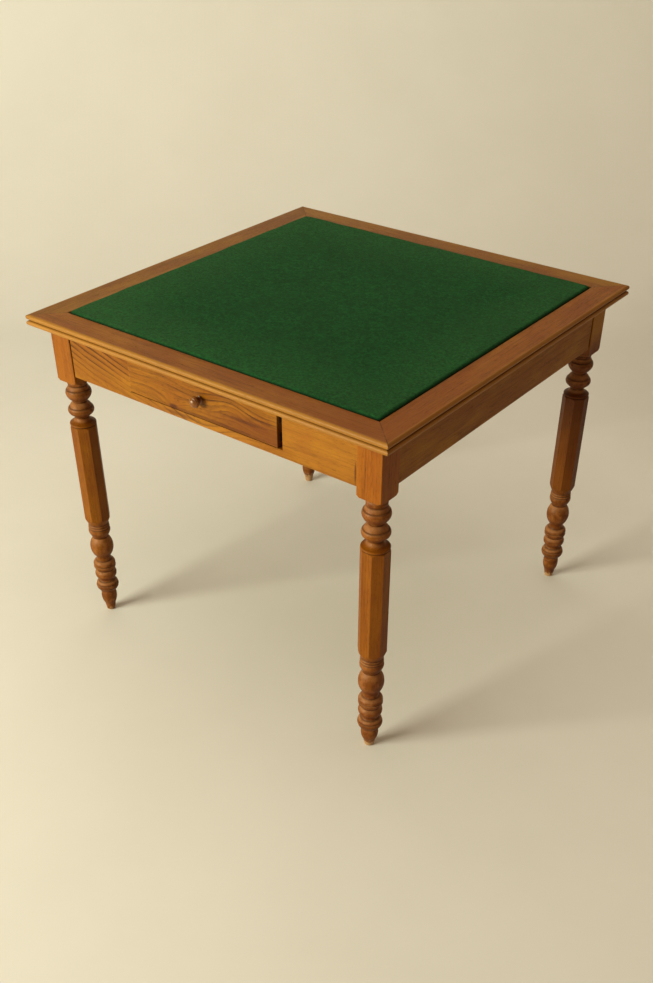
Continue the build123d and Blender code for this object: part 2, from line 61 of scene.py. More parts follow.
class Graph:
    """The nodes of one material or node group, made and joined by short calls."""

    def __init__(self, tree):
        self.tree = tree

    def feed(self, socket, value):
        if isinstance(value, bpy.types.NodeSocket):
            self.tree.links.new(value, socket)
        else:
            socket.default_value = value

    def node(self, kind, inputs=None, **settings):
        made = self.tree.nodes.new("ShaderNode" + kind)
        for key, value in settings.items():
            setattr(made, key, value)
        for key, value in (inputs or {}).items():
            self.feed(made.inputs[key], value)
        return made

    def math(self, operation, first, second=0.0, third=0.0, clamp=False):
        made = self.node("Math", operation=operation, use_clamp=clamp)
        for socket, value in zip(made.inputs, (first, second, third)):
            self.feed(socket, value)
        return made.outputs[0]

    def vector(self, operation, first, second=(0, 0, 0)):
        made = self.node("VectorMath", operation=operation)
        self.feed(made.inputs[0], first)
        self.feed(made.inputs["Scale" if operation == "SCALE" else 1], second)
        return made.outputs["Value" if operation in ("LENGTH", "DOT_PRODUCT") else "Vector"]

    def noise(self, where, scale=1.0, detail=2.0, roughness=0.5, distortion=0.0):
        inputs = {"Vector": where, "Scale": scale, "Detail": detail, "Roughness": roughness}
        return self.node("TexNoise", {**inputs, "Distortion": distortion}).outputs["Fac"]

    def stretched(self, where, stretch, detail=2.0, roughness=0.5):
        """Noise whose cells are as many per metre along each axis as stretch says."""
        return self.noise(self.vector("MULTIPLY", where, stretch), 1.0, detail, roughness)

    def remap(self, value, low, high, to_low=0.0, to_high=1.0):
        inputs = {0: value, 1: low, 2: high, 3: to_low, 4: to_high}
        return self.node("MapRange", inputs, interpolation_type="SMOOTHSTEP").outputs[0]

    def mix(self, factor, first, second):
        made = self.node("Mix", data_type="RGBA", clamp_factor=True)
        for key, value in ((0, factor), (6, first), (7, second)):
            self.feed(made.inputs[key], value)
        return made.outputs[2]

    def split(self, vector):
        return self.node("SeparateXYZ", {0: vector}).outputs

    def join(self, x, y, z):
        return self.node("CombineXYZ", {0: x, 1: y, 2: z}).outputs[0]

    def closeness(self, place, centre, reach):
        """1 at centre, falling smoothly to nothing past reach, a length for each axis."""
        away = self.vector("DIVIDE", self.vector("SUBTRACT", place, centre), reach)
        squared = self.vector("DOT_PRODUCT", away, away)
        return self.math("EXPONENT", self.math("MULTIPLY", squared, -1.0))

    def use(self, tree, inputs):
        made = self.tree.nodes.new("ShaderNodeGroup")
        made.node_tree = tree
        for key, value in inputs.items():
            self.feed(made.inputs[key], value)
        return made.outputs


def new_group(name, inputs, outputs):
    """A node group whose inputs are {name: (kind, default)} and outputs {name: kind}."""
    tree = bpy.data.node_groups.new(name, "ShaderNodeTree")
    for key, (kind, default) in inputs.items():
        socket = tree.interface.new_socket(key, in_out="INPUT", socket_type="NodeSocket" + kind)
        if default is not None:
            socket.default_value = default
    for key, kind in outputs.items():
        tree.interface.new_socket(key, in_out="OUTPUT", socket_type="NodeSocket" + kind)
    source = tree.nodes.new("NodeGroupInput")
    target = tree.nodes.new("NodeGroupOutput")
    return Graph(tree), source.outputs, target.inputs


def new_material(name):
    """A material, its graph, its shader's inputs, and the place on the object in metres."""
    material = bpy.data.materials.new(name)
    material.use_nodes = True
    graph = Graph(material.node_tree)
    shader = material.node_tree.nodes["Principled BSDF"].inputs
    place = graph.node("TexCoord").outputs["Object"]
    return material, graph, shader, place


def rgb(red, green, blue):
    """A colour given as screen values from 0 to 255, as the linear colour that shaders take."""
    linear = []
    for value in (red, green, blue):
        value /= 255
        linear.append(value / 12.92 if value <= 0.04045 else ((value + 0.055) / 1.055) ** 2.4)
    return (*linear, 1.0)


# ---------------------------------------------------------------- timber


def make_figure():
    """Figure of ring-porous timber. X runs along the grain, and the heart of the tree is the
    line where Y and Z are 0, so a board's place in the log sets what its faces show."""
    graph, given, result = new_group(
        "timber_figure",
        {
            "Vector": ("Vector", None),
            "Rings": ("Float", 190.0),
            "Waviness": ("Float", 0.010),
        },
        {key: "Float" for key in ("Ring", "Streak", "Dashes", "Pores", "Fibre", "Fleck", "Cloud")},
    )
    straight = given["Vector"]
    slow = graph.vector("MULTIPLY", straight, (3.0, 13.0, 13.0))
    wander = graph.node("TexNoise", {"Vector": slow, "Scale": 1.0, "Detail": 3.0}).outputs["Color"]
    wander = graph.vector("SUBTRACT", wander, (0.5, 0.5, 0.5))
    wander = graph.vector("MULTIPLY", wander, (0.0, 1.0, 1.0))
    bent = graph.vector("ADD", straight, graph.vector("SCALE", wander, given["Waviness"]))
    x, y, z = graph.split(bent)
    radius = graph.vector("LENGTH", graph.join(0.0, y, z))
    drift = graph.noise(graph.vector("SCALE", bent, 9.0), 1.0, 1.0)
    phase = graph.math("MULTIPLY_ADD", radius, given["Rings"], graph.math("MULTIPLY", drift, 1.1))
    year = graph.math("FLOOR", phase)
    within = graph.math("FRACT", phase)
    strength = graph.node("TexWhiteNoise", {"W": year}, noise_dimensions="1D").outputs["Value"]
    strength = graph.math("MULTIPLY_ADD", strength, 0.8, 0.2)
    early = graph.math("POWER", graph.math("SUBTRACT", 1.0, within), 4.5)
    onset = graph.remap(within, 0.0, 0.09)
    ring = graph.math("MULTIPLY", graph.math("MULTIPLY", early, onset), strength)
    broken = graph.stretched(bent, (26.0, 260.0, 260.0), 2.0)
    ring = graph.math("MULTIPLY", ring, graph.remap(broken, 0.22, 0.55, 0.35, 1.0))
    pores = graph.stretched(bent, (75.0, 1400.0, 1400.0), 1.0)
    threshold = graph.math("MULTIPLY_ADD", ring, -0.16, 0.66)
    pores = graph.remap(graph.math("SUBTRACT", pores, threshold), 0.0, 0.05)
    around = graph.math("MULTIPLY", graph.math("ARCTAN2", z, y), radius)
    fleck = graph.stretched(graph.join(x, radius, around), (110.0, 60.0, 900.0), 1.0)
    graph.feed(result["Ring"], ring)
    graph.feed(result["Streak"], graph.stretched(bent, (7.0, 230.0, 230.0), 3.0, 0.65))
    dashes = graph.stretched(bent, (26.0, 430.0, 430.0), 2.0, 0.5)
    graph.feed(result["Dashes"], graph.remap(dashes, 0.56, 0.70))
    graph.feed(result["Pores"], pores)
    graph.feed(result["Fibre"], graph.stretched(bent, (22.0, 1200.0, 1200.0), 3.0, 0.6))
    graph.feed(result["Fleck"], graph.remap(fleck, 0.60, 0.72))
    graph.feed(result["Cloud"], graph.stretched(straight, (6.0, 24.0, 24.0), 3.0, 0.6))
    return graph.tree


# Heights in millimetres of the lines cut between a leg's beads, darkened with dark wax and painted
# shade
GROOVES = (
    61, 67.8, 76.8, 85.5, 116, 129.4, 143, 206, 229.8, 235.4, 241,
    489.8, 506.5, 530.2, 542, 570, 579,
)
TURNED_HEIGHTS = (246, 500, 592)  # top of the lower beads, and the ends of the upper ones
BLOCK_START = (588 * MM, 594 * MM)  # the stain of the shaft fades out between these
# One leg was turned with its beads lower: (height, how much lower there), in millimetres
STEADY = ((0, 0), (700, 0))
LOWERED = ((0, 0), (56, 9), (250, 9), (480, 5), (585, 5), (592, 0))


def lowered(height, drops):
    """The height, moved down by the drop read between the nearest two of drops."""
    for (low, low_drop), (high, high_drop) in zip(drops, drops[1:]):
        if low <= height < high:
            return height - low_drop - (high_drop - low_drop) * (height - low) / (high - low)
    return height


def make_groove_shade(name, drops):
    """How dark the painted shade and wax are at a height: 1 in the middle of each groove of the
    turning. Turned is 1 over the beads, whose end grain has soaked up more stain, and 0 over the
    flats."""
    outputs = {"GrooveShade": "Float", "Turned": "Float"}
    graph, given, result = new_group(name, {"Height": ("Float", 0.0)}, outputs)
    shade_in_grooves = 0.0
    for groove in GROOVES:
        offset = graph.math("SUBTRACT", given["Height"], lowered(groove, drops) * MM)
        line = graph.remap(graph.math("ABSOLUTE", offset), 0.5 * MM, 2.2 * MM, 1.0, 0.0)
        shade_in_grooves = graph.math("MAXIMUM", shade_in_grooves, line)
    graph.feed(result["GrooveShade"], shade_in_grooves)
    low, middle, high = (lowered(height, drops) * MM for height in TURNED_HEIGHTS)
    turned = graph.remap(given["Height"], low - 4 * MM, low + 4 * MM, 1.0, 0.0)
    above = graph.remap(given["Height"], middle - 3 * MM, middle + 3 * MM)
    below = graph.remap(given["Height"], high - 3 * MM, high + 3 * MM, 1.0, 0.0)
    graph.feed(result["Turned"], graph.math("ADD", turned, graph.math("MULTIPLY", above, below)))
    return graph.tree


FIGURE = make_figure()
LOWERED_GROOVE_SHADE = make_groove_shade("groove_shade_lowered", LOWERED)
STEADY_GROOVE_SHADE = make_groove_shade("groove_shade", STEADY)

# Which way the grain runs, as the turn that lays it along the figure's X
ALONG_X = (0.0, 0.0, 0.0)
ALONG_Y = (0.0, 0.0, -math.pi / 2)
ALONG_Z = (0.0, math.pi / 2, 0.0)

# A mark, which is a stain, dirt or a painted shadow; a place where the rings are bolder; and one
# where the grain swells.
# Centre and reach are in metres along the object's axes.
Mark = namedtuple("Mark", "centre reach tone strength")
Bold = namedtuple("Bold", "centre reach gain")
Swell = namedtuple("Swell", "centre reach lift")

# The outputs of the figure, and what each layer of a timber's colour is worked out from
Figure = namedtuple("Figure", "ring streak dashes pores fibre fleck cloud")
Ground = namedtuple("Ground", "graph place ragged normal figure tones")

OAK = {
    "light": rgb(158, 104, 17),
    "middle": rgb(136, 80, 9),
    "dark": rgb(62, 30, 4),
    "pore": rgb(34, 15, 4),
}
BARE = {
    "light": rgb(204, 164, 112),
    "middle": rgb(180, 138, 88),
    "dark": rgb(134, 94, 54),
    "pore": rgb(92, 62, 36),
}

# How red, green and blue change where timber is redder, rubbed, or worn and given a painted
# highlight on the border's beads
REDDENED = (0.86, 0.66, 0.80)
RUBBED = (1.3, 1.3, 1.6)
WORN_AND_HIGHLIT_BEAD = (1.05, 1.52, 6.8)

WORN_TIP = rgb(184, 148, 106)
# the turning's stain, which also paints the shade under the beads
TURNED_STAIN_AND_SHADE = rgb(88, 42, 15)
DUSTY_WAX = rgb(150, 94, 46)
# dust and rubbing on the beads' tops, with a painted highlight
RUBBED_AND_HIGHLIT_WAX = rgb(178, 126, 82)


def shade(tones, red, green, blue):
    """The same tones, each channel multiplied."""
    return {key: (r * red, g * green, b * blue, 1.0) for key, (r, g, b, _) in tones.items()}


def base_colour(ground, contrast, bolds):
    """The bare figure: pale and red clouds, streaks and fibres, then the year rings."""
    graph, place, _, _, figure, tones = ground
    colour = graph.mix(graph.remap(figure.cloud, 0.3, 0.7), tones["light"], tones["middle"])
    red = graph.remap(graph.noise(place, 11.0, 3.0, 0.6), 0.48, 0.70, 0.0, 0.45)
    colour = graph.mix(red, colour, shade(tones, *REDDENED)["middle"])
    streaks = graph.remap(figure.streak, 0.42, 0.70, 0.0, 0.60 * contrast)
    colour = graph.mix(streaks, colour, tones["dark"])
    dashes = graph.math("MULTIPLY", figure.dashes, 0.45 * contrast)
    colour = graph.mix(dashes, colour, tones["dark"])
    fibres = graph.remap(figure.fibre, 0.35, 0.75, 0.0, 0.35)
    colour = graph.mix(fibres, colour, tones["middle"])
    gain = contrast
    for bold in bolds:
        near = graph.closeness(place, bold.centre, bold.reach)
        gain = graph.math("MULTIPLY_ADD", near, bold.gain, gain)
    bands = graph.math("MULTIPLY", figure.ring, gain, clamp=True)
    colour = graph.mix(bands, colour, tones["dark"])
    colour = graph.mix(graph.math("MULTIPLY", figure.fleck, 0.16), colour, tones["light"])
    return graph.mix(graph.math("MULTIPLY", figure.pores, 0.6), colour, tones["pore"])


def marked(ground, colour, marks):
    """Each mark laid over the colour, with a ragged edge."""
    graph = ground.graph
    for mark in marks:
        near = graph.closeness(ground.place, mark.centre, mark.reach)
        uneven = graph.math("SUBTRACT", ground.ragged, 0.5)
        near = graph.math("MULTIPLY_ADD", uneven, 0.5, near)
        mark_weight = graph.remap(near, 0.15, 0.8, 0.0, mark.strength)
        colour = graph.mix(mark_weight, colour, mark.tone)
    return colour


def handled(ground, colour, wear, dust_and_shade):
    """Arrises are rubbed paler, and dust and painted shade darken the corners."""
    graph, _, ragged, normal, _, tones = ground
    rounded = graph.node("Bevel", {"Radius": 1.8 * MM}, samples=6).outputs[0]
    arris = graph.math("SUBTRACT", 1.0, graph.vector("DOT_PRODUCT", rounded, normal))
    arris = graph.remap(arris, 0.01, 0.16)
    patchy = graph.remap(ragged, 0.35, 0.60, 0.25, 1.0)
    arris = graph.math("MULTIPLY", graph.math("MULTIPLY", arris, patchy), wear)
    colour = graph.mix(arris, colour, shade(tones, *RUBBED)["light"])
    # dust and painted shade in the corners, where ambient occlusion finds the surface hemmed in
    hollow = graph.node("AmbientOcclusion", {"Distance": 9 * MM}, samples=6).outputs["AO"]
    return graph.mix(graph.remap(hollow, 0.25, 0.65, dust_and_shade, 0.0), colour, tones["pore"])


def worn_border(ground, colour):
    """The double bead is worn pale and has a painted highlight, with dark wax and painted shade in
    its groove, and dark wax in the mitres.
    """
    graph, place, ragged, _, _, tones = ground
    x, y, height = graph.split(place)
    x, y = graph.math("ABSOLUTE", x), graph.math("ABSOLUTE", y)
    outer = graph.math("MAXIMUM", x, y)
    # the beads are worn pale, and paler still with a painted highlight
    beads = graph.remap(outer, BORDER_HALF - 8 * MM, BORDER_HALF - 4 * MM, 0.0, 0.5)
    colour = graph.mix(beads, colour, shade(tones, *WORN_AND_HIGHLIT_BEAD)["light"])
    # dark wax and painted shade in the groove between the beads
    quirk = graph.math("ABSOLUTE", graph.math("SUBTRACT", height, QUIRK_HEIGHT))
    quirk = graph.remap(quirk, 0.4 * MM, 2.0 * MM, 1.0, 0.0)
    colour = graph.mix(graph.math("MULTIPLY", quirk, beads), colour, tones["dark"])
    seam = graph.math("ABSOLUTE", graph.math("SUBTRACT", x, y))
    seam = graph.remap(seam, 0.4 * MM, 1.6 * MM, 0.8, 0.0)
    seam = graph.math("MULTIPLY", seam, graph.remap(ragged, 0.35, 0.6, 0.35, 1.0))
    return graph.mix(seam, colour, tones["pore"])


def stained_and_lit_turning(ground, colour, shade_in_grooves):
    """Beads are stained and dusty, darker underneath with painted shade, paler on top where rubbed
    and dusty and with a painted highlight, and dark in their grooves with wax and painted shade.
    """
    graph, place, ragged, normal, figure, tones = ground
    height = graph.split(place)[2]
    lines, turned = graph.use(shade_in_grooves, {"Height": height})
    shaft = graph.remap(height, *BLOCK_START, 0.30, 0.0)
    colour = graph.mix(shaft, colour, tones["dark"])
    deep = graph.math("MULTIPLY", turned, graph.remap(figure.cloud, 0.3, 0.7, 0.12, 0.52))
    colour = graph.mix(deep, colour, TURNED_STAIN_AND_SHADE)
    dusty = graph.remap(graph.noise(place, 62.0, 4.0, 0.7), 0.42, 0.66, 0.0, 0.55)
    colour = graph.mix(graph.math("MULTIPLY", dusty, turned), colour, DUSTY_WAX)
    facing = graph.split(normal)[2]
    # painted shade on the undersides of the beads
    under = graph.remap(facing, 0.05, -0.60, 0.0, 0.55)
    colour = graph.mix(graph.math("MULTIPLY", under, turned), colour, TURNED_STAIN_AND_SHADE)
    # dust, rubbing and a painted highlight on the tops of the beads
    upward = graph.remap(facing, 0.15, 0.80, 0.0, 0.60)
    upward = graph.math("MULTIPLY", upward, graph.remap(ragged, 0.30, 0.60, 0.45, 1.0))
    colour = graph.mix(graph.math("MULTIPLY", upward, turned), colour, RUBBED_AND_HIGHLIT_WAX)
    # dark wax and painted shade in the grooves
    return graph.mix(graph.math("MULTIPLY", lines, 0.50), colour, tones["pore"])


def chipped_tip(ground, colour, bare_height):
    """Stain and wax have chipped off the foot, unevenly, up to this height."""
    graph, place = ground.graph, ground.place
    chips = graph.math("SUBTRACT", graph.noise(place, 130.0, 4.0, 0.75), 0.5)
    edge = graph.math("MULTIPLY_ADD", chips, -60 * MM, graph.split(place)[2])
    chipped = graph.remap(edge, bare_height - 4 * MM, bare_height + 2 * MM, 0.75, 0.0)
    return graph.mix(chipped, colour, WORN_TIP)


def give_surface(ground, shader, roughness):
    """Open pores and early wood lie lower than the rest, and shine less."""
    graph, _, ragged, _, figure, _ = ground
    gloss = graph.math("MULTIPLY_ADD", figure.fibre, 0.16, roughness - 0.08)
    gloss = graph.math("MULTIPLY_ADD", figure.pores, 0.22, gloss)
    gloss = graph.math("MULTIPLY_ADD", ragged, 0.12, gloss)
    graph.feed(shader["Roughness"], gloss)
    relief = graph.math("MULTIPLY", figure.pores, -0.9)
    relief = graph.math("MULTIPLY_ADD", figure.fibre, 0.30, relief)
    relief = graph.math("MULTIPLY_ADD", figure.ring, -0.35, relief)
    bump = graph.node("Bump", {"Height": relief, "Strength": 0.45, "Distance": 0.25 * MM})
    graph.feed(shader["Normal"], bump.outputs[0])


def timber(
    name,
    tones,
    turn=ALONG_X,
    heart=(0.0, 0.25, 0.4),
    rings=190.0,
    waviness=0.010,
    contrast=1.0,
    roughness=0.42,
    wear=0.5,
    dust_and_shade=0.6,
    shine=0.13,
    marks=(),
    bolds=(),
    swells=(),
    mitred=False,
    shade_in_grooves=None,
    bare_foot=0.0,
):
    """A waxed or bare timber. heart is the point, in the turned frame, that the tree's heart
    passes through: far off, it gives straight grain, and near, it gives arches. rings is
    how many years' rings there are to the metre."""
    material, graph, shader, place = new_material(name)
    at = place
    for swell in swells:
        near = graph.closeness(place, swell.centre, swell.reach)
        at = graph.vector("ADD", at, graph.join(0.0, 0.0, graph.math("MULTIPLY", near, swell.lift)))
    at = graph.node("Mapping", {"Vector": at, "Rotation": turn}).outputs[0]
    at = graph.vector("SUBTRACT", at, heart)
    figure = graph.use(FIGURE, {"Vector": at, "Rings": rings, "Waviness": waviness})
    ragged = graph.noise(place, 70.0, 3.0, 0.6)
    normal = graph.node("NewGeometry").outputs["Normal"]
    ground = Ground(graph, place, ragged, normal, Figure(*figure), tones)

    colour = base_colour(ground, contrast, bolds)
    colour = marked(ground, colour, marks)
    colour = handled(ground, colour, wear, dust_and_shade)
    if mitred:
        colour = worn_border(ground, colour)
    if shade_in_grooves is not None:
        colour = stained_and_lit_turning(ground, colour, shade_in_grooves)
    if bare_foot:
        colour = chipped_tip(ground, colour, bare_foot)
    graph.feed(shader["Base Color"], colour)
    shader["Specular IOR Level"].default_value = shine
    give_surface(ground, shader, roughness)
    return material


# ---------------------------------------------------------------- cloth and metal


def baize():
    """Napped wool cloth: short matted fibres, brushed patches in the nap, and a few pale hairs."""
    material, graph, shader, place = new_material("baize")
    nap = graph.noise(place, 950.0, 4.0, 0.7, 0.6)
    tuft = graph.noise(place, 190.0, 3.0, 0.65, 0.4)
    brushed = graph.stretched(place, (26.0, 60.0, 30.0), 3.0, 0.6)
    cloud = graph.noise(place, 7.0, 4.0, 0.6)
    colour = graph.mix(graph.remap(nap, 0.3, 0.7), rgb(2, 39, 16), rgb(16, 78, 37))
    # sleeves have rubbed the nap pale and dusty towards the edges, and it is paler there with
    # painted sheen
    x, y, height = graph.split(place)
    outer = graph.math("MAXIMUM", graph.math("ABSOLUTE", x), graph.math("ABSOLUTE", y))
    outer = graph.math("MULTIPLY_ADD", graph.math("SUBTRACT", cloud, 0.5), 0.25, outer)
    rubbed_and_sheen = graph.remap(outer, 0.20, 0.37, 0.0, 0.34)
    # painted light: the left corner, nearest the window, is paler still
    left = graph.remap(graph.math("ADD", x, y), -0.40, -0.78, 0.0, 0.30)
    colour = graph.mix(graph.math("ADD", rubbed_and_sheen, left), colour, rgb(60, 106, 64))
    matted = graph.noise(place, 115.0, 3.0, 0.6, 0.8)
    colour = graph.mix(graph.remap(tuft, 0.35, 0.65, 0.0, 0.60), colour, rgb(2, 27, 11))
    colour = graph.mix(graph.remap(matted, 0.42, 0.68, 0.0, 0.34), colour, rgb(34, 110, 54))
    colour = graph.mix(graph.remap(brushed, 0.35, 0.75, 0.0, 0.30), colour, rgb(20, 82, 40))
    colour = graph.mix(graph.remap(cloud, 0.35, 0.70, 0.0, 0.30), colour, rgb(4, 42, 18))
    hairs = graph.stretched(place, (420.0, 1500.0, 900.0), 2.0, 0.5)
    colour = graph.mix(graph.remap(hairs, 0.70, 0.78, 0.0, 0.5), colour, rgb(84, 124, 84))
    # painted shade on the cloth's edge, darkest where it turns down towards the border
    shoulder_shade = graph.remap(height, BORDER_TOP, CLOTH_HIGH[2] - 0.2 * MM, 0.85, 0.0)
    colour = graph.mix(shoulder_shade, colour, rgb(4, 24, 11))
    graph.feed(shader["Base Color"], colour)
    shader["Roughness"].default_value = 0.95
    shader["Specular IOR Level"].default_value = 0.06
    shader["Sheen Weight"].default_value = 0.13
    shader["Sheen Roughness"].default_value = 0.55
    shader["Sheen Tint"].default_value = rgb(120, 170, 120)
    relief = graph.math("MULTIPLY_ADD", tuft, 0.6, nap)
    bump = graph.node("Bump", {"Height": relief, "Strength": 0.8, "Distance": 0.5 * MM})
    graph.feed(shader["Normal"], bump.outputs[0])
    return material


def iron(name, bright, dull, roughness):
    """Old iron: worn bright in places, dull and spotted elsewhere."""
    material, graph, shader, place = new_material(name)
    spots = graph.noise(place, 900.0, 4.0, 0.65)
    colour = graph.mix(graph.remap(spots, 0.35, 0.65), bright, dull)
    graph.feed(shader["Base Color"], colour)
    shader["Metallic"].default_value = 0.9
    graph.feed(shader["Roughness"], graph.remap(spots, 0.3, 0.7, roughness, roughness + 0.3))
    bump = graph.node("Bump", {"Height": spots, "Strength": 0.4, "Distance": 0.1 * MM})
    graph.feed(shader["Normal"], bump.outputs[0])
    return material


def paint(node, material):
    """Gives a CAD node this material."""
    for slot in NODES[node].material_slots:
        slot.material = material


# ---------------------------------------------------------------- finish of each piece

BORDER_OAK = shade(OAK, 1.02, 0.92, 1.00)
RED_BORDER = shade(BORDER_OAK, 0.8, 0.6, 0.7)
LEG_OAK = shade(OAK, 0.96, 0.80, 0.50)
DRAWER_OAK = shade(OAK, 0.90, 0.85, 0.72)
KNOB_OAK = shade(OAK, 0.80, 0.68, 0.90)
# runners, guides and stops, darkened with painted shade as seen through the drawer's gaps
SHADED_INSIDE = shade(BARE, 0.42, 0.36, 0.32)
# What the marks are painted with
STAIN_AND_SHADE = rgb(74, 34, 10)
RED_STAIN = rgb(96, 44, 14)
PALE_OAK = rgb(186, 124, 48)
SHADOW = rgb(34, 11, 4)

OPENING_RIGHT = 193 * MM         # where the drawer's opening ends
LEG_BLOCK_EDGE = 353 * MM        # and where the front apron meets the right leg's block

SIDES = {"front": ALONG_X, "back": ALONG_X, "left": ALONG_Y, "right": ALONG_Y}
# Each rail is tinted with painted light: painted reflection of the pale wall on the back and left
# rails, painted shade on the right rail, and window light on the front
RAIL_PAINTED_LIGHT = {
    "front": (1.04, 1.02, 0.88),
    "back": (1.03, 1.22, 1.10),
    "left": (0.97, 1.13, 1.10),
    "right": (1.0, 0.93, 0.84),
}


def paint_borders():
    """The rails are redder round the corner nearest the camera."""
    front_right = Mark((0.43, -0.43, BORDER_TOP), (0.24, 0.20, 0.1), RED_BORDER["middle"], 0.5)
    for number, (side, turn) in enumerate(SIDES.items()):
        heart = (0.37 * number, 0.10 + 0.02 * number, 0.55)
        material = timber(
            f"border_{side}", shade(BORDER_OAK, *RAIL_PAINTED_LIGHT[side]), turn, heart,
            rings=230, waviness=0.008, contrast=0.60, wear=0.6, dust_and_shade=0.35, shine=0.19,
            marks=[front_right], mitred=True,
        )
        paint(f"top_rail_{side}", material)
        for half in "ab":
            name = f"glue_block_{side}_{half}"
            paint(name, timber(name, BARE, turn, (0.3 * number, 0.3, 0.5), roughness=0.7))


def paint_aprons():
    """The front apron's rings slant boldly across its left end and round a swelling in the
    strip below the drawer, and they run straight and faint at its pale right end."""
    front = timber(
        "apron_front", OAK, ALONG_X, (0.0, -0.39, 0.53), rings=88, waviness=0.012,
        contrast=0.45, wear=0.4,
        bolds=[
            Bold((-0.275, APRON_FACE, 0.697), (0.12, 0.1, 0.040), 5.8),
            Bold((-0.04, APRON_FACE, 0.619), (0.10, 0.1, 0.02), 3.0),
        ],
        swells=[
            Swell((-0.48, APRON_FACE, 0.74), (0.27, 0.2, 0.30), -0.085),
            Swell((-0.01, APRON_FACE, 0.61), (0.09, 0.2, 0.05), 0.035),
        ],
        marks=[
            Mark((-0.290, APRON_FACE, 0.665), (0.12, 0.02, 0.05), DRAWER_OAK["middle"], 0.18),
            Mark((0.290, APRON_FACE, 0.665), (0.14, 0.02, 0.07), PALE_OAK, 0.16),
            Mark((0.0, APRON_FACE, 0.617), (0.17, 0.02, 0.012), PALE_OAK, 0.20),
            # painted shadow on the end of the drawer's opening, deep in the gap at its right
            Mark((OPENING_RIGHT, APRON_FACE + 15 * MM, 0.668), (0.004, 0.012, 0.06), SHADOW, 0.97),
            Mark((LEG_BLOCK_EDGE, APRON_FACE, 0.636), (0.0022, 0.02, 0.024), STAIN_AND_SHADE, 0.75),
            Mark((-0.060, APRON_FACE, 0.619), (0.05, 0.02, 0.004), STAIN_AND_SHADE, 0.5),
        ],
    )
    paint("apron_front", front)
    for number, side in enumerate(("back", "left", "right")):
        heart = (0.4 * number, 0.33, 0.60)
        material = timber(f"apron_{side}", OAK, SIDES[side], heart, rings=120, contrast=0.6)
        paint(f"apron_{side}", material)


def paint_drawer():
    """A wild-grained front with a small knot at its lower edge, redder at its right end."""
    face = DRAWER_LOW[1]
    knot = (-0.075, face, DRAWER_LOW[2] + 3 * MM)
    front = timber(
        "drawer_front", DRAWER_OAK, ALONG_X, (0.0, -0.30, 0.74), rings=190, waviness=0.022,
        contrast=0.65, roughness=0.40, wear=0.5,
        bolds=[Bold((0.06, face, 0.662), (0.13, 0.1, 0.05), 1.8)],
        swells=[
            Swell(knot, (0.035, 0.05, 0.02), 0.016),
            Swell((0.07, face, 0.675), (0.05, 0.1, 0.03), -0.020),
        ],
        marks=[
            Mark((0.13, face, 0.640), (0.13, 0.05, 0.026), RED_STAIN, 0.50),
            Mark((0.02, face, 0.630), (0.14, 0.05, 0.006), STAIN_AND_SHADE, 0.55),
            Mark((0.10, face, 0.655), (0.06, 0.05, 0.0035), STAIN_AND_SHADE, 0.60),
            Mark((0.145, face, 0.668), (0.03, 0.05, 0.0030), STAIN_AND_SHADE, 0.50),
            Mark((0.035, face, 0.690), (0.035, 0.05, 0.0025), STAIN_AND_SHADE, 0.45),
            Mark(knot, (0.012, 0.02, 0.007), STAIN_AND_SHADE, 0.9),
        ],
    )
    paint("drawer_front", front)
    heart = (0.1, 0.02, 0.68)
    knob = timber("knob", KNOB_OAK, ALONG_Y, heart, rings=400, roughness=0.26, shine=0.5)
    paint("drawer_knob", knob)
    for name in ("drawer_back", "drawer_bottom"):
        paint(name, timber(name, BARE, ALONG_X, roughness=0.65, contrast=0.6))
    # painted shadow on the front ends of the drawer's sides, where they show through the gaps
    shaded_tails = [
        Mark((x, face + 8 * MM, 0.665), (0.006, 0.016, 0.06), SHADOW, 0.85)
        for x in (DRAWER_LOW[0], DRAWER_HIGH[0])
    ]
    for hand in ("left", "right"):
        for piece, tones in (("side", BARE), ("runner", SHADED_INSIDE), ("guide", SHADED_INSIDE), ("stop", SHADED_INSIDE)):
            name = f"drawer_{piece}_{hand}"
            marks = shaded_tails if piece == "side" else ()
            material = timber(name, tones, ALONG_Y, roughness=0.65, contrast=0.6, marks=marks)
            paint(name, material)


# Each leg came from a different piece of wood, and the back right leg is darkened with painted
# shade
LEG_TONES_AND_SHADE = {
    "front_left": (1.02, 1.05, 1.0),
    "front_right": (1.05, 1.0, 1.0),
    "back_right": (0.66, 0.58, 0.60),
    "back_left": (0.85, 0.80, 0.85),
}
# and its tip is chipped bare up to this height
BARE_FOOT = {
    "front_left": 5 * MM,
    "front_right": 14 * MM,
    "back_right": 9 * MM,
    "back_left": 22 * MM,
}


def paint_legs():
    """The back right leg is the darkest, with painted shade, and a painted shadow of the table
    falls on it most of all below its beads, under a block kept pale.
    """
    middle = (LEG_MIDDLE, LEG_MIDDLE)
    back_right_shading = [
        # painted shadow of the table on the leg below its block
        Mark((*middle, 0.50), (0.06, 0.06, 0.12), STAIN_AND_SHADE, 0.45),
        # the block kept pale against the painted shade
        Mark((*middle, 0.67), (0.07, 0.07, 0.065), OAK["light"], 0.85),
    ]
    for number, corner in enumerate(CORNERS):
        heart = (0.2 * number, 0.28 + 0.03 * number, 0.33)
        material = timber(
            f"leg_{corner}", shade(LEG_OAK, *LEG_TONES_AND_SHADE[corner]), ALONG_Z, heart,
            rings=240, waviness=0.006, contrast=0.40, wear=0.55, shine=0.14,
            marks=back_right_shading if corner == "back_right" else (),
            shade_in_grooves=LOWERED_GROOVE_SHADE if corner == "front_right" else STEADY_GROOVE_SHADE,
            bare_foot=BARE_FOOT[corner],
        )
        paint(f"leg_{corner}", material)


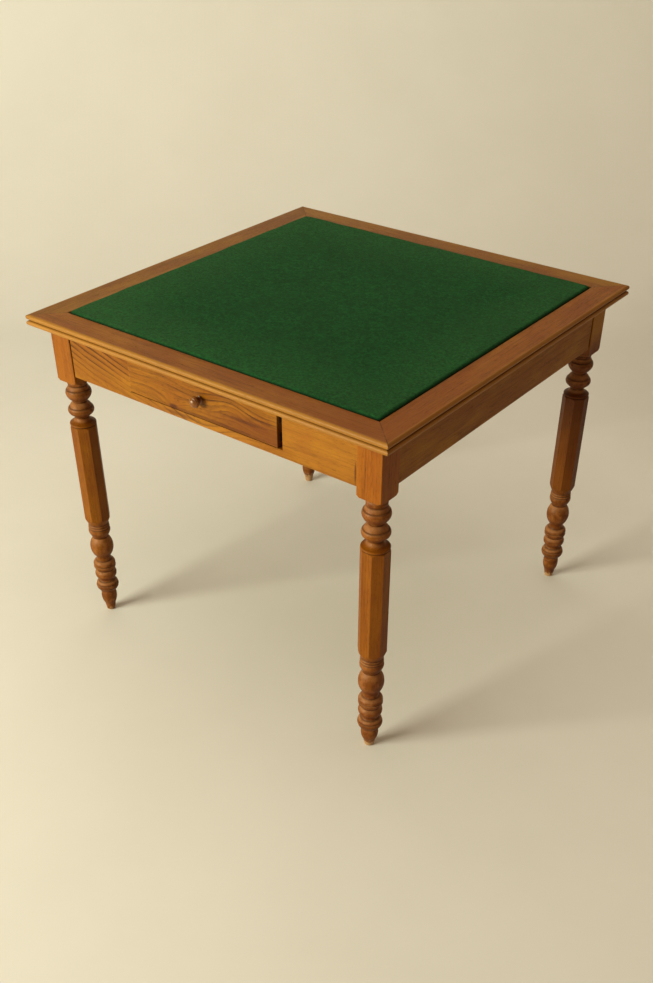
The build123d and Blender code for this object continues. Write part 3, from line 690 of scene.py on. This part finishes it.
paint_borders()
paint_aprons()
paint_drawer()
paint_legs()
paint("playing_board", timber("playing_board", BARE, ALONG_X, roughness=0.7, contrast=0.6))
paint("mitre_splines", timber("mitre_splines", BARE, ALONG_X, roughness=0.6))
aged_iron = iron("aged_iron", rgb(120, 112, 104), rgb(60, 52, 46), 0.40)
blued_iron = iron("blued_iron", rgb(70, 68, 70), rgb(34, 30, 30), 0.35)
for name in ("board_screws", "guide_screws_left", "guide_screws_right"):
    paint(name, aged_iron)
for name in ("cloth_tacks", "drawer_bottom_nails"):
    paint(name, blued_iron)

# ---------------------------------------------------------------- the playing cloth

CLOTH_THICKNESS = 1.4 * MM
CLOTH_CORNER = 8 * MM            # rounding of the wrapped corners, seen from above
LEAST_CORNER = 0.2 * MM          # and the least of it, near the middle
SHOULDER = 6 * MM                # rounding where the cloth turns down at the edge
HEM_ROUNDING = 3 * MM            # and where it turns under
TURN_UNDER = 38 * MM             # width tacked beneath the board
TACKS_PER_SIDE = 7
TACK_BULGE = 0.35 * MM           # how far the edge stands out between two tacks
TACK_DIP = 0.5 * MM              # how far a tack pulls the edge down
WANDER = 0.75 * MM               # how far the edge strays from a straight line
EDGE_REACH = 16 * MM             # how far in from the edge these three are felt
UNEVENNESS = 0.35 * MM           # rise and fall of the field
MOST_RISE = 0.3 * MM
EDGE_SPACING = 2 * MM            # from one ring of points to the next, at the edge
SPACING_GROWTH = 0.18            # of the inset, further in
FIELD_START = 60 * MM            # and from here on the spacing is even
FIELD_SPACING = 18 * MM
RINGS_END = 0.93                 # of the way in, where one last ring closes the field
LAST_RING = 0.96
POINTS_PER_SIDE = 84
POINTS_PER_CORNER = 8


def rounded_square(inset, half):
    """Points around a square of this half width, less inset, with its corners rounded."""
    reach = half - inset
    corner = max(CLOTH_CORNER * reach / half, LEAST_CORNER)
    straight = reach - corner
    points = []
    for quarter in range(4):
        for step in range(POINTS_PER_SIDE):
            along = -straight + 2 * straight * step / POINTS_PER_SIDE
            points.append(Vector((along, -reach, 0)))
        for step in range(POINTS_PER_CORNER):
            angle = math.pi / 2 * step / POINTS_PER_CORNER
            across = Vector((math.sin(angle), -math.cos(angle), 0))
            points.append(Vector((straight, -straight, 0)) + corner * across)
        turn = Euler((0, 0, math.pi / 2 * quarter)).to_matrix()
        count = POINTS_PER_SIDE + POINTS_PER_CORNER
        points[-count:] = [turn @ point for point in points[-count:]]
    return points


def cloth_profile(half):
    """(inset, height) of each ring of the cloth, from its hidden hem to its middle."""
    low, high = CLOTH_LOW[2], CLOTH_HIGH[2]
    rings = [(TURN_UNDER, low), (TURN_UNDER / 2, low), (HEM_ROUNDING, low)]
    for step in range(1, 4):
        angle = math.pi / 2 * step / 3
        climb = HEM_ROUNDING * (1 - math.cos(angle))
        rings.append((HEM_ROUNDING * (1 - math.sin(angle)), low + climb))
    rings.append((0.0, (low + high - SHOULDER) / 2))
    for step in range(7):
        angle = math.pi / 2 * step / 6
        fall = SHOULDER * (1 - math.sin(angle))
        rings.append((SHOULDER * (1 - math.cos(angle)), high - fall))
    inset = SHOULDER
    while inset < RINGS_END * half:
        growing = max(EDGE_SPACING, SPACING_GROWTH * inset)
        inset += growing if inset < FIELD_START else FIELD_SPACING
        rings.append((min(inset, LAST_RING * half), high))
    return rings


def make_cloth():
    """A square of cloth stretched over the board's edges: drawn in a little at each tack, and
    slack between them, so that its edges aren't quite straight."""
    half = CLOTH_HIGH[0]
    verts = []
    faces = []
    rings = cloth_profile(half)
    pitch = 2 * half / TACKS_PER_SIDE
    for inset, height in rings:
        for point in rounded_square(inset, half):
            slack = math.exp(-((inset / EDGE_REACH) ** 2)) if height > CLOTH_LOW[2] else 0.0
            along = point.x if abs(point.y) > abs(point.x) else point.y
            scallop = 0.5 - 0.5 * math.cos(2 * math.pi * (along + half) / pitch)
            wave = noise.noise(Vector((point.x * 17, point.y * 17, 3.1)))
            outward = (TACK_BULGE * scallop + WANDER * max(wave, -0.4)) * slack
            rise = 0.0
            if height > BORDER_TOP:
                swell = noise.noise(Vector((point.x * 11, point.y * 11, 7.7)))
                rise = min(UNEVENNESS * swell - TACK_DIP * slack * (1 - scallop), MOST_RISE)
            verts.append(point + outward * point.normalized() + Vector((0, 0, height + rise)))
    count = 4 * (POINTS_PER_SIDE + POINTS_PER_CORNER)
    for ring in range(len(rings) - 1):
        for index in range(count):
            after = (index + 1) % count
            low, high = ring * count, (ring + 1) * count
            faces.append((low + index, low + after, high + after, high + index))
    middle = len(verts)
    verts.append(Vector((0, 0, CLOTH_HIGH[2])))
    last = (len(rings) - 1) * count
    for index in range(count):
        faces.append((last + index, last + (index + 1) % count, middle))
    mesh = bpy.data.meshes.new("playing_cloth")
    mesh.from_pydata(verts, [], faces)
    mesh.shade_smooth()
    cloth = bpy.data.objects.new("playing_cloth", mesh)
    bpy.context.scene.collection.objects.link(cloth)
    solid = cloth.modifiers.new("thickness", "SOLIDIFY")
    solid.thickness = CLOTH_THICKNESS
    solid.offset = -1
    mesh.materials.append(baize())
    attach(cloth, "table")
    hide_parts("cloth")


make_cloth()

# ---------------------------------------------------------------- floor, light, camera

FLOOR_LEVEL = -0.3 * MM
FLOOR_REACH = 30.0
SWEEP_START = 1.5                # from the middle of the table to where the floor turns up
SWEEP_RADIUS = 1.6
SWEEP_STEPS = 24
BACKDROP_TOP = 7.0

CAMERA_PLACE = (1.313, -1.7314, 1.5734)
VIEW_TURN = math.radians(37.68)  # how far the camera stands round from the table's front
LOOK_DOWN = math.radians(38.27)
SENSOR_WIDTH = 36                # this and the lens are in millimetres, as on a real camera
FOCAL_LENGTH = 39.98
LENS_SHIFT = 0.1464              # upward, as a share of the sensor's width

SKY_COLOUR = (1.0, 0.68, 0.38, 1)
SKY_STRENGTH = 0.26
# Size, power in watts, colour, place and target of each light
Light = namedtuple("Light", "size power colour place target")
LIGHTS = {
    "window": Light((2.4, 1.2), 300, (1.0, 0.97, 0.72), (-1.95, -4.35, 1.70), (0, 0, 0.5)),
    "ceiling": Light((3.0, 3.0), 26, (1.0, 0.88, 0.70), (0.0, 0.0, 3.4), (0, 0, 0)),
}


def make_floor():
    """A plain pale floor that sweeps up into a backdrop behind the table."""
    profile = [(-FLOOR_REACH, 0.0)]
    for step in range(SWEEP_STEPS + 1):
        angle = math.pi / 2 * step / SWEEP_STEPS
        rise = SWEEP_RADIUS * (1 - math.cos(angle))
        profile.append((SWEEP_START + SWEEP_RADIUS * math.sin(angle), rise))
    profile.append((SWEEP_START + SWEEP_RADIUS, BACKDROP_TOP))
    verts = [(x, y, z) for y, z in profile for x in (-FLOOR_REACH, FLOOR_REACH)]
    faces = [(2 * i, 2 * i + 1, 2 * i + 3, 2 * i + 2) for i in range(len(profile) - 1)]
    mesh = bpy.data.meshes.new("floor")
    mesh.from_pydata(verts, [], faces)
    mesh.shade_smooth()
    floor = bpy.data.objects.new("floor", mesh)
    bpy.context.scene.collection.objects.link(floor)
    floor.location.z = FLOOR_LEVEL
    floor.rotation_euler.z = VIEW_TURN
    material, graph, shader, place = new_material("floor")
    cloud = graph.noise(place, 1.6, 5.0, 0.6)
    colour = graph.mix(graph.remap(cloud, 0.3, 0.7), rgb(230, 230, 229), rgb(226, 226, 224))
    graph.feed(shader["Base Color"], colour)
    shader["Roughness"].default_value = 0.75
    shader["Specular IOR Level"].default_value = 0.2
    # from beneath or behind it is clear, so that it doesn't hide the table from those sides
    tree = material.node_tree
    below = graph.node("NewGeometry").outputs["Backfacing"]
    clear = graph.node("BsdfTransparent").outputs[0]
    solid = tree.nodes["Principled BSDF"].outputs[0]
    seen = graph.node("MixShader", {0: below, 1: solid, 2: clear}).outputs[0]
    tree.links.new(seen, tree.nodes["Material Output"].inputs["Surface"])
    floor.data.materials.append(material)


def make_light(name, light):
    """A soft rectangle of light, turned towards its target."""
    data = bpy.data.lights.new(name, "AREA")
    data.shape = "RECTANGLE"
    data.size, data.size_y = light.size
    data.energy = light.power
    data.color = light.colour
    lamp = bpy.data.objects.new(name, data)
    lamp.location = light.place
    towards = Vector(light.target) - Vector(light.place)
    lamp.rotation_euler = towards.to_track_quat("-Z", "Y").to_euler()
    bpy.context.scene.collection.objects.link(lamp)


def make_camera():
    """Standing near the table's front right corner and looking down, with upright legs: the
    lens is shifted instead of being tilted further."""
    data = bpy.data.cameras.new("camera")
    data.sensor_width = SENSOR_WIDTH
    data.lens = FOCAL_LENGTH
    data.shift_y = LENS_SHIFT
    camera = bpy.data.objects.new("camera", data)
    camera.location = CAMERA_PLACE
    camera.rotation_euler = Euler((math.pi / 2 - LOOK_DOWN, 0, VIEW_TURN))
    bpy.context.scene.collection.objects.link(camera)
    bpy.context.scene.camera = camera


def make_world():
    """Warm light from all round, as the walls of a room throw back."""
    world = bpy.data.worlds.new("studio")
    world.use_nodes = True
    background = world.node_tree.nodes["Background"].inputs
    background["Color"].default_value = SKY_COLOUR
    background["Strength"].default_value = SKY_STRENGTH
    bpy.context.scene.world = world


make_floor()
for light_name, light in LIGHTS.items():
    make_light(light_name, light)
make_world()
bpy.context.scene.view_settings.view_transform = "Standard"
make_camera()
